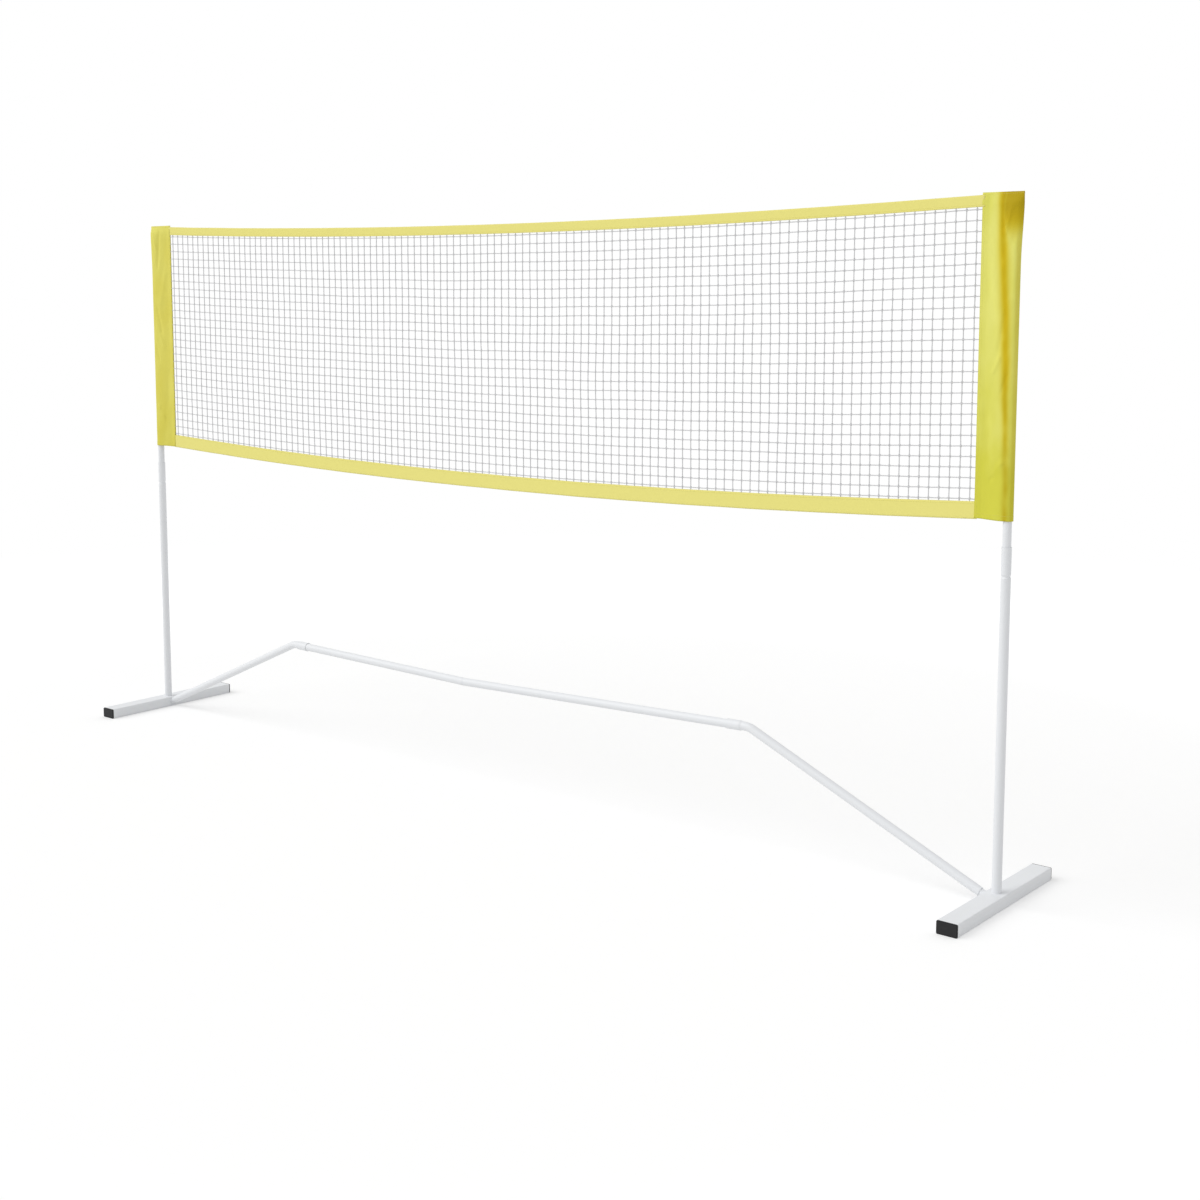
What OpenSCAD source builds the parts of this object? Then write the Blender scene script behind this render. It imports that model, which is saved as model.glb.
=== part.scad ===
// Free-standing sports net that packs into a bag. Two flat feet carry push-fit tube posts,
// a raised crossbar keeps the feet apart, and the net hangs on the posts by a fabric pocket
// at each end. X runs along the net, Y across it and Z up. The origin is on the floor,
// midway between the posts.

/* [Layout] */
// Distance between the axes of the two posts
post_spacing = 2950; // [2400:10:3400]
// How far the top end of the upper post tubes lies below the net's top edge
post_below_net = 25; // [24:1:90]
// Height of the mouth of the lower posts, where the upper posts go in
lower_post_top = 800; // [700:5:830]

/* [Tubes] */
// Outside diameter of the lower posts, slope tubes and crossbars
tube_d = 22; // [20:0.5:24]
// Wall of the lower posts, slope tubes and crossbars
tube_wall = 1.2; // [0.8:0.1:1.6]
// Wall of the thinner tubes that slide inside them
inner_wall = 1.0; // [0.8:0.1:1.5]
// Gap all round between a tube and the tube that slides inside it
slide_gap = 0.3; // [0.2:0.05:0.5]
// Chamfer on the leading end of each tube that slides inside another
lead_chamfer = 0.5; // [0.2:0.1:0.7]

/* [Posts] */
// Length of upper post held inside the lower post
post_overlap = 60; // [40:1:100]
// How far the rolled bead that stops the upper post stands into the bore
bead_depth = 1.3; // [1:0.1:2]
// Length of the rolled bead along the tube
bead_length = 8; // [6:0.5:12]
// Height of the spigot above the foot
spigot_height = 70; // [40:1:120]

/* [Post caps] */
// Thickness of the cap's head on top of the upper post
cap_head = 3; // [2:0.5:5]
// Length of the cap's stem inside the tube
cap_stem = 14; // [8:1:25]
// Rounding of the head's rim
cap_rounding = 1.2; // [0.5:0.1:1.8]

/* [Feet] */
// Length of the foot's tube, across the net
foot_length = 460; // [360:5:600]
// Width of the foot's tube
foot_width = 50; // [46:1:70]
// Height of the foot's tube
foot_height = 30; // [28:1:40]
// Wall of the foot's tube
foot_wall = 1.5; // [1:0.1:2.5]
// Outside corner radius of the foot's tube
foot_corner = 3; // [2.6:0.1:5]

/* [Foot plugs] */
// Thickness of the plug's face outside the tube
plug_face = 4; // [2.5:0.5:8]
// Amount by which the plug's face is smaller than the tube, on each side
plug_inset = 0.3; // [0.2:0.05:0.8]
// Length of the plug's core inside the tube
plug_depth = 18; // [12:1:30]
// Wall of the plug's hollow core
plug_wall = 2; // [1.5:0.1:3]
// Number of gripping fins round the core
fin_count = 4; // [2:1:5]
// Thickness of a fin
fin_thickness = 1.2; // [0.8:0.1:1.8]
// How far a fin stands off the core
fin_reach = 2.2; // [1.5:0.1:2.6]
// Gap between the fins and the tube's inside
fin_gap = 0.2; // [0.1:0.05:0.4]
// Edge chamfer of the plug's face
plug_chamfer = 1; // [0.5:0.1:1.5]

/* [Crossbar] */
// Rise of the slope tubes above level, in degrees
slope_angle = 23.8; // [20:0.1:27]
// Height at which the slope tubes' axis meets the side of the foot
stub_root_z = 17; // [15:0.5:20]
// Length of the stub on the foot, along the slope
stub_length = 80; // [50:1:120]
// Length of stub left bare between the foot and the slope tube
stub_bare = 15; // [10:1:25]
// Distance from the left post's axis to the left bend
left_bend_reach = 630; // [560:5:700]
// Distance from the right post's axis to the right bend
right_bend_reach = 660; // [560:5:700]
// Radius of the bends at the tube's centre line
bend_radius = 60; // [40:1:90]
// Straight run from the end of a bend to the socket's cone
bend_run = 4; // [2:0.5:10]
// Length of the cone that widens the tube into the socket
socket_cone = 5; // [3:0.5:10]
// Length of the socket that takes the crossbar
socket_length = 40; // [30:1:60]
// Distance from the middle of the net to the crossbar's joint, positive to the right
crossbar_joint_x = -135; // [-300:5:300]
// How far the joint hangs below the straight line between the bends
crossbar_droop = 19; // [0:1:40]
// Length of the joiner inside each crossbar
joiner_reach = 50; // [30:1:80]
// Thickness of the joiner's ring between the two crossbars
joiner_ring = 1.6; // [1.2:0.1:4]
// Gap between that ring and each crossbar
joiner_gap = 0.4; // [0.4:0.1:1]
// How far the wall of a bend stands proud of the straight tube, inside and outside
bend_swell = 0.05; // [0.04:0.01:0.1]

/* [Net] */
// Height of the net's top edge at the posts
net_top = 1554; // [1548:1:1720]
// Height of the net's bottom edge at the posts
net_bottom = 859; // [840:1:920]
// Sag of the top edge at mid span
top_sag = 29; // [0:1:60]
// Sag of the bottom edge at mid span
bottom_sag = 41; // [0:1:60]
// Height of the top tape
top_tape_h = 25; // [20:1:50]
// Height of the bottom tape
bottom_tape_h = 39; // [20:1:60]
// Thickness of the tapes and of the sleeves' flat seams
tape_thickness = 3; // [2.8:0.1:5]
// Thickness of the cords of the net
cord_thickness = 1; // [0.8:0.1:1.4]
// Width of the cords of the net
cord_width = 2.4; // [1.5:0.1:4]
// Number of gaps along the net
mesh_columns = 34; // [20:1:36]
// Number of gaps up the net
mesh_rows = 8; // [5:1:8]
// Depth of the net's border tucked between the plies of tape and seam
mesh_tuck = 10; // [6:1:15]
// Gap between the tucked border and each ply
ply_gap = 0.3; // [0.2:0.05:0.5]

/* [Sleeves] */
// Distance from the post's axis to the inner edge of the sleeve
sleeve_inboard = 78; // [65:1:110]
// How far the sleeve stands above the net's top edge
sleeve_above = 2; // [1:0.5:5]
// How far the sleeve hangs below the net's bottom edge
sleeve_below = 3; // [2:1:20]
// Wall of the sleeve's fabric
sleeve_wall = 1.2; // [0.8:0.1:2]
// Gap between the post and the inside of the sleeve
sleeve_gap = 0.8; // [0.6:0.1:2]
// Width of the flat double seam that takes the net
seam_width = 16; // [14:1:25]
// How far the flat top corner of the sleeve stands out past its tight part
corner_flare = 6; // [1:0.5:10]
// Height over which that corner runs in
flare_height = 150; // [80:5:250]
// Gap between the post's cap and the inside of the pocket's top
sleeve_seat_gap = 0.3; // [0.2:0.1:1]
// Distance from the flat seam to the narrow end of the pocket
pocket_margin = 6; // [2:1:12]
// Height of the straight outer end of the sewn top
corner_hem = 14; // [5:1:30]
// Depth of the folds that run up the slack fabric
fold_height = 2.5; // [0.5:0.5:4]
// Number of half waves that the folds make across the slack
fold_count = 2; // [1:1:3]

/* [Hidden] */
$fn = 48;
coat_white = [0.93, 0.94, 0.95];
plug_black = [0.06, 0.06, 0.07];
fabric_yellow = [0.90, 0.83, 0.22];
cord_grey = [0.86, 0.87, 0.88];
LEFT = -1;
RIGHT = 1;
post_x = post_spacing / 2;
post_top = net_top - post_below_net;
tube_bore = tube_d - 2 * tube_wall;
inner_d = tube_bore - 2 * slide_gap;
inner_bore = inner_d - 2 * inner_wall;

weld_gap = 0.1;
// How far a cutting shape runs past what it cuts
CUT = 1;

// Rolled bead: the upper post's end stops part of the way down its upper flank
BEAD_CREST = 2;
FLANK_SHARE = 0.5;
bead_top = lower_post_top - post_overlap;
bead_slope_run = (bead_length - BEAD_CREST) / 2;
upper_post_bottom = bead_top - FLANK_SHARE * bead_slope_run * slide_gap / bead_depth;

// Lead-in of the cap's stem, its play in the tube, and the step of the head's rounding
STEM_TAPER = 1;
STEM_TAPER_LENGTH = 2;
STEM_GAP = 0.1;
RIM_STEP = 15;

// Plain share of a fin pitch left at the core's inner end
FIN_END = 0.5;

// Crossbar points, all in the plane y = 0
foot_face_x = post_x - foot_width / 2;
function local_x(side, x) = -side * x;
function reach(side) = side == LEFT ? left_bend_reach : right_bend_reach;
function bend_x(side) = side * (post_x - reach(side));
function bend_z(side) = stub_root_z + (reach(side) - foot_width / 2) * tan(slope_angle);
function chord_z(x) = bend_z(LEFT)
    + (bend_z(RIGHT) - bend_z(LEFT)) * (x - bend_x(LEFT)) / (bend_x(RIGHT) - bend_x(LEFT));
joint_z = chord_z(crossbar_joint_x) - crossbar_droop;
function bar_run(side) = abs(crossbar_joint_x - bend_x(side));
function bar_angle(side) = atan2(joint_z - bend_z(side), bar_run(side));
function bar_length(side) = norm([bar_run(side), joint_z - bend_z(side)]);
function bend_turn(side) = slope_angle - bar_angle(side);
function bend_tangent(side) = bend_radius * tan(bend_turn(side) / 2);
function slope_length(side) = (reach(side) - foot_width / 2) / cos(slope_angle);
function socket_start(side) = bend_tangent(side) + bend_run + socket_cone;
socket_bore = tube_d + 2 * slide_gap;
bar_end = joiner_ring / 2 + joiner_gap;
BEND_LAP = 0.5;
socket_d = socket_bore + 2 * tube_wall;

// Net edges hang as parabolas between the posts
function sag_share(x) = 1 - pow(x / post_x, 2);
function net_top_z(x) = net_top - top_sag * sag_share(x);
function net_bottom_z(x) = net_bottom - bottom_sag * sag_share(x);
function mesh_top_z(x) = net_top_z(x) - top_tape_h;
function mesh_bottom_z(x) = net_bottom_z(x) + bottom_tape_h;
function mesh_z(x, v) = mesh_bottom_z(x) + v * (mesh_top_z(x) - mesh_bottom_z(x));
net_half = post_x - sleeve_inboard;
column_width = 2 * net_half / mesh_columns;
function column_x(i) = -net_half + i * column_width;
ply_slot = cord_thickness + 2 * ply_gap;

// Sleeve sections, measured from the post's axis towards the net
sleeve_top = net_top + sleeve_above;
sleeve_bottom = net_bottom - sleeve_below;
sleeve_height = sleeve_top - sleeve_bottom;
cavity_r = inner_d / 2 + sleeve_gap;
cavity_inboard = sleeve_inboard - seam_width - pocket_margin;
cavity_top = post_top + cap_head + sleeve_seat_gap;
POCKET_EDGE = 0.4;
CORNER_LAP = 0.5;
EASE = 0.05;
FOLD_RAMP = 4;
SIDE_STEPS = 12;
NOSE_STEPS = 10;

// Draws a left-hand piece, or its mirror image on the right
module on_side(side) {
    if (side == LEFT) {
        children();
    } else {
        mirror([1, 0, 0]) children();
    }
}

module tube(outer, bore, length) {
    difference() {
        cylinder(d = outer, h = length);
        translate([0, 0, -CUT]) cylinder(d = bore, h = length + 2 * CUT);
    }
}

module rounded_rectangle(width, height, radius) {
    square([width - 2 * radius, height], center = true);
    square([width, height - 2 * radius], center = true);
    for (x = [-1, 1], y = [-1, 1]) {
        translate([x * (width / 2 - radius), y * (height / 2 - radius)]) circle(r = radius);
    }
}

// Extrudes a shape drawn in x and z along +Y from y = start
module along_y(start, length) {
    translate([0, start + length, 0]) rotate([90, 0, 0]) linear_extrude(height = length) children();
}

// Turns a piece drawn along +Z so that it runs towards the middle of the net, rising by angle
module towards_middle(x, z, angle) {
    translate([x, 0, z]) rotate([0, 90 - angle, 0]) children();
}

module foot(side) {
    color(coat_white) translate([side * post_x, 0, 0]) difference() {
        translate([0, 0, foot_height / 2]) along_y(-foot_length / 2, foot_length) difference() {
            rounded_rectangle(foot_width, foot_height, foot_corner);
            rounded_rectangle(foot_width - 2 * foot_wall, foot_height - 2 * foot_wall,
                              foot_corner - foot_wall);
        }
        translate([0, 0, foot_height / 2]) cylinder(d = inner_d + 2 * weld_gap, h = foot_height);
    }
}

// A plug's face and fins; way is -1 for the front end and 1 for the back end
module foot_plug(side, way) {
    face_w = foot_width - 2 * plug_inset;
    face_h = foot_height - 2 * plug_inset;
    fin_w = foot_width - 2 * foot_wall - 2 * fin_gap;
    fin_h = foot_height - 2 * foot_wall - 2 * fin_gap;
    fin_pitch = plug_depth / (fin_count + FIN_END);
    color(plug_black) translate([side * post_x, way * foot_length / 2, foot_height / 2])
    rotate([0, 0, way == 1 ? 0 : 180]) difference() {
        union() {
            along_y(0, plug_face - plug_chamfer) rounded_rectangle(face_w, face_h, foot_corner);
            along_y(plug_face - plug_chamfer, plug_chamfer)
                rounded_rectangle(face_w - 2 * plug_chamfer, face_h - 2 * plug_chamfer,
                                  foot_corner - plug_chamfer);
            along_y(-plug_depth, plug_depth)
                square([fin_w - 2 * fin_reach, fin_h - 2 * fin_reach], center = true);
            for (i = [1 : fin_count]) {
                along_y(-i * fin_pitch, fin_thickness) square([fin_w, fin_h], center = true);
            }
        }
        along_y(-plug_depth - CUT, plug_depth + CUT)
            square([fin_w - 2 * fin_reach - 2 * plug_wall, fin_h - 2 * fin_reach - 2 * plug_wall],
                   center = true);
    }
}

// Stands on the foot's floor inside, passes its top wall and carries the lower post
module post_spigot(side) {
    r = inner_d / 2;
    top = foot_height + spigot_height;
    color(coat_white) translate([side * post_x, 0, 0]) rotate_extrude() polygon([
        [inner_bore / 2, foot_wall], [r, foot_wall], [r, top - lead_chamfer],
        [r - lead_chamfer, top], [inner_bore / 2, top]
    ]);
}

// Tube with a rolled bead that narrows its bore where the upper post stops
module lower_post(side) {
    r = tube_d / 2;
    bore = tube_bore / 2;
    low = bead_top - bead_length;
    flat = bead_top - bead_slope_run;
    color(coat_white) translate([side * post_x, 0, 0]) rotate_extrude() polygon([
        [bore, foot_height], [r, foot_height], [r, low], [r - bead_depth, low + bead_slope_run],
        [r - bead_depth, flat], [r, bead_top], [r, lower_post_top], [bore, lower_post_top],
        [bore, bead_top], [bore - bead_depth, flat], [bore - bead_depth, low + bead_slope_run],
        [bore, low]
    ]);
}

module upper_post(side) {
    r = inner_d / 2;
    color(coat_white) translate([side * post_x, 0, 0]) rotate_extrude() polygon([
        [inner_bore / 2, upper_post_bottom], [r - lead_chamfer, upper_post_bottom],
        [r, upper_post_bottom + lead_chamfer], [r, post_top], [inner_bore / 2, post_top]
    ]);
}

module post_cap(side) {
    r = inner_d / 2;
    stem = inner_bore / 2 - STEM_GAP;
    stem_end = post_top - cap_stem;
    top = post_top + cap_head;
    color(plug_black) translate([side * post_x, 0, 0]) rotate_extrude() polygon(concat(
        [[0, stem_end], [stem - STEM_TAPER, stem_end], [stem, stem_end + STEM_TAPER_LENGTH],
         [stem, post_top], [r, post_top]],
        [for (a = [0 : RIM_STEP : 90])
            [r - cap_rounding + cap_rounding * cos(a), top - cap_rounding + cap_rounding * sin(a)]],
        [[0, top]]
    ));
}

// Tube welded to the inner side of the foot, cut to lie flat on it
module crossbar_stub(side) {
    color(coat_white) on_side(side) difference() {
        towards_middle(-foot_face_x, stub_root_z, slope_angle) translate([0, 0, -tube_d])
            tube(inner_d, inner_bore, stub_length + tube_d);
        translate([-foot_face_x - 4 * tube_d, -tube_d, stub_root_z - 2 * tube_d])
            cube([4 * tube_d, 2 * tube_d, 4 * tube_d]);
    }
}

// Straight run over the stub, one bend, and a widened socket for the crossbar
module slope_tube(side) {
    turn = bend_turn(side);
    tangent = bend_tangent(side);
    x = local_x(side, bend_x(side));
    z = bend_z(side);
    run = slope_length(side) - tangent - stub_bare;
    cone_start = tangent + bend_run;
    socket_from = socket_start(side);
    color(coat_white) on_side(side) {
        towards_middle(x, z, slope_angle) translate([0, 0, -tangent - run])
            tube(tube_d, tube_bore, run + BEND_LAP);
        translate([
            x - tangent * cos(slope_angle) + bend_radius * sin(slope_angle), 0,
            z - tangent * sin(slope_angle) - bend_radius * cos(slope_angle)
        ])
            rotate([90, 0, 0]) rotate([0, 0, 90 + bar_angle(side)])
            rotate_extrude(angle = turn) translate([bend_radius, 0]) difference() {
                circle(d = tube_d + 2 * bend_swell);
                circle(d = tube_bore - 2 * bend_swell);
            }
        towards_middle(x, z, bar_angle(side)) rotate_extrude() polygon([
            [tube_bore / 2, tangent - BEND_LAP], [tube_d / 2, tangent - BEND_LAP],
            [tube_d / 2, cone_start],
            [socket_d / 2, socket_from], [socket_d / 2, socket_from + socket_length],
            [socket_bore / 2, socket_from + socket_length], [socket_bore / 2, socket_from],
            [tube_bore / 2, cone_start]
        ]);
    }
}

// Straight tube from the bottom of the socket to the joint
module crossbar(side) {
    start = socket_start(side) + slide_gap;
    color(coat_white) on_side(side)
        towards_middle(local_x(side, bend_x(side)), bend_z(side), bar_angle(side))
        translate([0, 0, start]) tube(tube_d, tube_bore, bar_length(side) - start - bar_end);
}

// A tube inside each crossbar, on both sides of a ring that stops them
module crossbar_joiner() {
    arm_start = joiner_ring / 4;
    ring_angle = (bar_angle(LEFT) - bar_angle(RIGHT)) / 2;
    color(coat_white) {
        for (side = [LEFT, RIGHT]) {
            on_side(side) translate([local_x(side, crossbar_joint_x), 0, joint_z])
                rotate([0, -90 - bar_angle(side), 0]) translate([0, 0, arm_start])
                tube(inner_d, inner_bore, joiner_reach - arm_start);
        }
        translate([crossbar_joint_x, 0, joint_z]) rotate([0, 90 - ring_angle, 0])
            cylinder(d = tube_d, h = joiner_ring, center = true);
    }
}

// Outline between two curves, each a function of x
function band(x_from, x_to, steps, low, high) = concat(
    [for (i = [0 : steps]) let(x = x_from + (x_to - x_from) * i / steps) [x, low(x)]],
    [for (i = [steps : -1 : 0]) let(x = x_from + (x_to - x_from) * i / steps) [x, high(x)]]
);

// Four corners of one gap of the net
function gap_outline(i, j) = let(
    h = cord_width / 2,
    x0 = column_x(i) + h,
    x1 = column_x(i + 1) - h
) [
    [x0, mesh_z(x0, j / mesh_rows) + h], [x1, mesh_z(x1, j / mesh_rows) + h],
    [x1, mesh_z(x1, (j + 1) / mesh_rows) - h], [x0, mesh_z(x0, (j + 1) / mesh_rows) - h]
];

// Extrudes a shape drawn in x and z so that it lies on both sides of the net's plane
module sheet(thickness) {
    along_y(-thickness / 2, thickness) children();
}

// The cords, with a border that is tucked into the tapes and the sleeves' seams
module net_mesh() {
    edge = net_half + mesh_tuck;
    color(cord_grey) sheet(cord_thickness) difference() {
        polygon(band(-edge, edge, mesh_columns,
            function(x) mesh_bottom_z(x) - mesh_tuck, function(x) mesh_top_z(x) + mesh_tuck));
        for (i = [0 : mesh_columns - 1], j = [0 : mesh_rows - 1]) polygon(gap_outline(i, j));
    }
}

// Folded tape: a band with a slot for the net's border along one edge
module tape(low, high, slot_low, slot_high) {
    color(fabric_yellow) difference() {
        sheet(tape_thickness) polygon(band(-net_half, net_half, mesh_columns, low, high));
        sheet(ply_slot) polygon(
            band(-net_half - CUT, net_half + CUT, mesh_columns, slot_low, slot_high));
    }
}

module top_tape() {
    tape(function(x) mesh_top_z(x), function(x) net_top_z(x),
        function(x) mesh_top_z(x) - CUT, function(x) mesh_top_z(x) + mesh_tuck + ply_gap);
}

module bottom_tape() {
    tape(function(x) net_bottom_z(x), function(x) mesh_bottom_z(x),
        function(x) mesh_bottom_z(x) - mesh_tuck - ply_gap, function(x) mesh_bottom_z(x) + CUT);
}

function smooth(t) = let(u = max(0, min(1, t))) u * u * (3 - 2 * u);

// Folds that run up the slack part of the sleeve; both plies move the same way
function fold_y(x) = let(t = (x - inner_d) / (sleeve_inboard - seam_width - inner_d))
    t <= 0 || t >= 1 ? 0 : fold_height * sin(180 * fold_count * t)
        * smooth(FOLD_RAMP * t) * smooth(FOLD_RAMP - FOLD_RAMP * t);

// One side of the section from the net end (t = 0) to the post (t = 1), as [x, half thickness]
function side_point(t, from_x, half_seam, r) =
    [from_x * (1 - t), half_seam + (r - half_seam) * smooth(t * (1 + 2 * EASE) - EASE)];

// Plan of the sleeve: front side, round nose at the post, back side
module sleeve_section(from_x, half_seam, r) {
    sides = [for (k = [0 : SIDE_STEPS - 1]) side_point(k / SIDE_STEPS, from_x, half_seam, r)];
    nose = [for (k = [0 : NOSE_STEPS]) let(a = 90 + 180 * k / NOSE_STEPS) [r * cos(a), r * sin(a)]];
    polygon(concat(
        [for (p = sides) [p[0], p[1] + fold_y(p[0])]],
        nose,
        [for (k = [SIDE_STEPS - 1 : -1 : 0]) [sides[k][0], -sides[k][1] + fold_y(sides[k][0])]]
    ));
}

// Fabric pocket with a flat seam that takes the net's border. Above the post its plies come
// together and are sewn flat, so the corner stands out past the part that is tight round the post.
module sleeve(side) {
    outer_r = cavity_r + sleeve_wall;
    corner_x = -outer_r - corner_flare;
    shoulder = cavity_top + sleeve_wall;
    wide = outer_r + 2 * fold_height;
    color(fabric_yellow) on_side(side) translate([-post_x, 0, 0]) difference() {
        union() {
            intersection() {
                translate([0, 0, sleeve_bottom]) linear_extrude(height = sleeve_height)
                    sleeve_section(sleeve_inboard, tape_thickness / 2, outer_r);
                translate([-2 * outer_r, 0, 0]) rotate([90, 0, 90])
                    linear_extrude(height = 2 * outer_r + sleeve_inboard + CUT) polygon([
                        [-wide, sleeve_bottom - CUT], [wide, sleeve_bottom - CUT], [wide, shoulder],
                        [outer_r, shoulder], [tape_thickness / 2, sleeve_top],
                        [-tape_thickness / 2, sleeve_top], [-outer_r, shoulder], [-wide, shoulder]
                    ]);
            }
            sheet(2 * sleeve_wall) polygon([
                [0, sleeve_top - flare_height], [0, sleeve_top], [corner_x, sleeve_top],
                [corner_x, sleeve_top - corner_hem], [CORNER_LAP - outer_r, sleeve_top - flare_height]
            ]);
        }
        translate([0, 0, sleeve_bottom - CUT])
            linear_extrude(height = cavity_top - sleeve_bottom + CUT)
            sleeve_section(cavity_inboard, POCKET_EDGE, cavity_r);
        translate([sleeve_inboard - mesh_tuck - ply_gap, -ply_slot / 2, 0])
            cube([mesh_tuck + ply_gap + CUT, ply_slot, sleeve_top + CUT]);
    }
}

module foot_left() { foot(LEFT); }
module foot_right() { foot(RIGHT); }
module foot_plug_left_front() { foot_plug(LEFT, -1); }
module foot_plug_left_back() { foot_plug(LEFT, 1); }
module foot_plug_right_front() { foot_plug(RIGHT, -1); }
module foot_plug_right_back() { foot_plug(RIGHT, 1); }
module post_spigot_left() { post_spigot(LEFT); }
module post_spigot_right() { post_spigot(RIGHT); }
module crossbar_stub_left() { crossbar_stub(LEFT); }
module crossbar_stub_right() { crossbar_stub(RIGHT); }
module slope_tube_left() { slope_tube(LEFT); }
module slope_tube_right() { slope_tube(RIGHT); }
module crossbar_left() { crossbar(LEFT); }
module crossbar_right() { crossbar(RIGHT); }
module lower_post_left() { lower_post(LEFT); }
module lower_post_right() { lower_post(RIGHT); }
module upper_post_left() { upper_post(LEFT); }
module upper_post_right() { upper_post(RIGHT); }
module post_cap_left() { post_cap(LEFT); }
module post_cap_right() { post_cap(RIGHT); }
module sleeve_left() { sleeve(LEFT); }
module sleeve_right() { sleeve(RIGHT); }

foot_left();
foot_right();
foot_plug_left_front();
foot_plug_left_back();
foot_plug_right_front();
foot_plug_right_back();
post_spigot_left();
post_spigot_right();
crossbar_stub_left();
crossbar_stub_right();
slope_tube_left();
slope_tube_right();
crossbar_left();
crossbar_right();
crossbar_joiner();
lower_post_left();
lower_post_right();
upper_post_left();
upper_post_right();
post_cap_left();
post_cap_right();
net_mesh();
top_tape();
bottom_tape();
sleeve_left();
sleeve_right();
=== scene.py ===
import math

import bmesh
import bpy
from bpy.props import FloatProperty, FloatVectorProperty, IntProperty, PointerProperty
from mathutils import Matrix, Vector, noise


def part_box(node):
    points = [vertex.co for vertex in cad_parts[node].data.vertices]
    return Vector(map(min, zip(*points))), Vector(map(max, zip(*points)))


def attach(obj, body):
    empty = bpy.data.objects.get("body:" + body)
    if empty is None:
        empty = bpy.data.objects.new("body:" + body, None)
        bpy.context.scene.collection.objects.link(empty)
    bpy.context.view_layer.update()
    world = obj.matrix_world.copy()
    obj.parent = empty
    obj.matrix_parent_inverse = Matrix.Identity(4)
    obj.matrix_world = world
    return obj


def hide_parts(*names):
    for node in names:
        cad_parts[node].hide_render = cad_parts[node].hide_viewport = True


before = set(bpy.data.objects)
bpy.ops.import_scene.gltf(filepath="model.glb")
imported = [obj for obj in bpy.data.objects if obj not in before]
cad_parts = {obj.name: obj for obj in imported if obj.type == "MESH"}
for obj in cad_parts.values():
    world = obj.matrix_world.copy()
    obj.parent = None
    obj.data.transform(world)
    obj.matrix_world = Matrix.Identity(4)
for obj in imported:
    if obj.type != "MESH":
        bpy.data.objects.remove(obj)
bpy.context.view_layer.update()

bl_info = {
    "name": "Free-standing net set",
    "version": (1, 0, 0),
    "blender": (4, 5, 0),
    "location": "3D View > Sidebar > Net Set",
    "description": "Cords, tapes, pockets, finishes and stage for a free-standing sports net",
    "category": "Object",
}

FOOT_INNER_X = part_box("foot_right")[0][0]
FOOT_OUTER_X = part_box("foot_right")[1][0]
POST_X = FOOT_INNER_X / 2 + FOOT_OUTER_X / 2
TAPE_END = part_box("top_tape")[1][0]
POCKET_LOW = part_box("sleeve_right")[0][2]
POCKET_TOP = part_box("sleeve_right")[1][2]
CAP_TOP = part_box("post_cap_right")[1][2]

# Sewing, in metres
STITCH = 0.0028          # length of a stitch
STITCH_STEP = 0.0042     # from one stitch to the next
THREAD = 0.0006          # thickness of the thread
TAPE_SEAM = 0.0045       # from a tape's free edge to its seam
HEM_SEAM = 0.003         # from the hem's upper edge down to its seam
TOP_SEAM = 0.004         # from a pocket's top edge down to its seam
SIDE_SEAMS = (0.006, 0.028)    # a pocket's two side seams, as shares of the way round it

# Welds at the feet, in metres
STUB_SLOPE = math.radians(23.8)
STUB_RADIUS = 0.0095
STUB_HEIGHT = 0.017      # from the floor to the stub's axis
WELD_BEAD = 0.0016       # radius of the bead

# Faces of the grids, along and across
TAPE_GRID = (700, 26)
POCKET_GRID = (110, 200)
WELD_GRID = (156, 10)

# Floor: paint near the object, and the same white as the sky further out
FLOOR_HALF = 60.0
FLOOR_PAINT = (0.9, 0.9, 0.9, 1)
PAINT_ENDS, WHITE_STARTS = 2.0, 5.0     # in metres from the middle, with a fade between
GLOW_SHARE = 0.20        # share of glow in the painted part, as the camera sees it
GLOW_NEAR = 1.72         # strength of that glow; it is 1 further out

# Key light
KEY_FROM = (-0.55, -0.55, 0.72)
KEY_SPREAD = math.radians(50.0)

WHITE_TUBES = [
    "foot_left", "foot_right", "post_spigot_left", "post_spigot_right",
    "crossbar_stub_left", "crossbar_stub_right", "slope_tube_left", "slope_tube_right",
    "crossbar_left", "crossbar_right", "crossbar_joiner",
    "lower_post_left", "lower_post_right", "upper_post_left", "upper_post_right",
]
BLACK_PLASTIC = [
    "foot_plug_left_front", "foot_plug_left_back", "foot_plug_right_front",
    "foot_plug_right_back", "post_cap_left", "post_cap_right",
]


def length_prop(name, description, default):
    """A size in metres."""
    return FloatProperty(name=name, description=description, default=default, min=0.0,
                         precision=4, subtype="DISTANCE", unit="LENGTH")


def colour_prop(name, description, default):
    """A colour, as linear red, green and blue."""
    return FloatVectorProperty(name=name, description=description, default=default, min=0.0,
                               max=1.0, size=3, subtype="COLOR")


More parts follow.
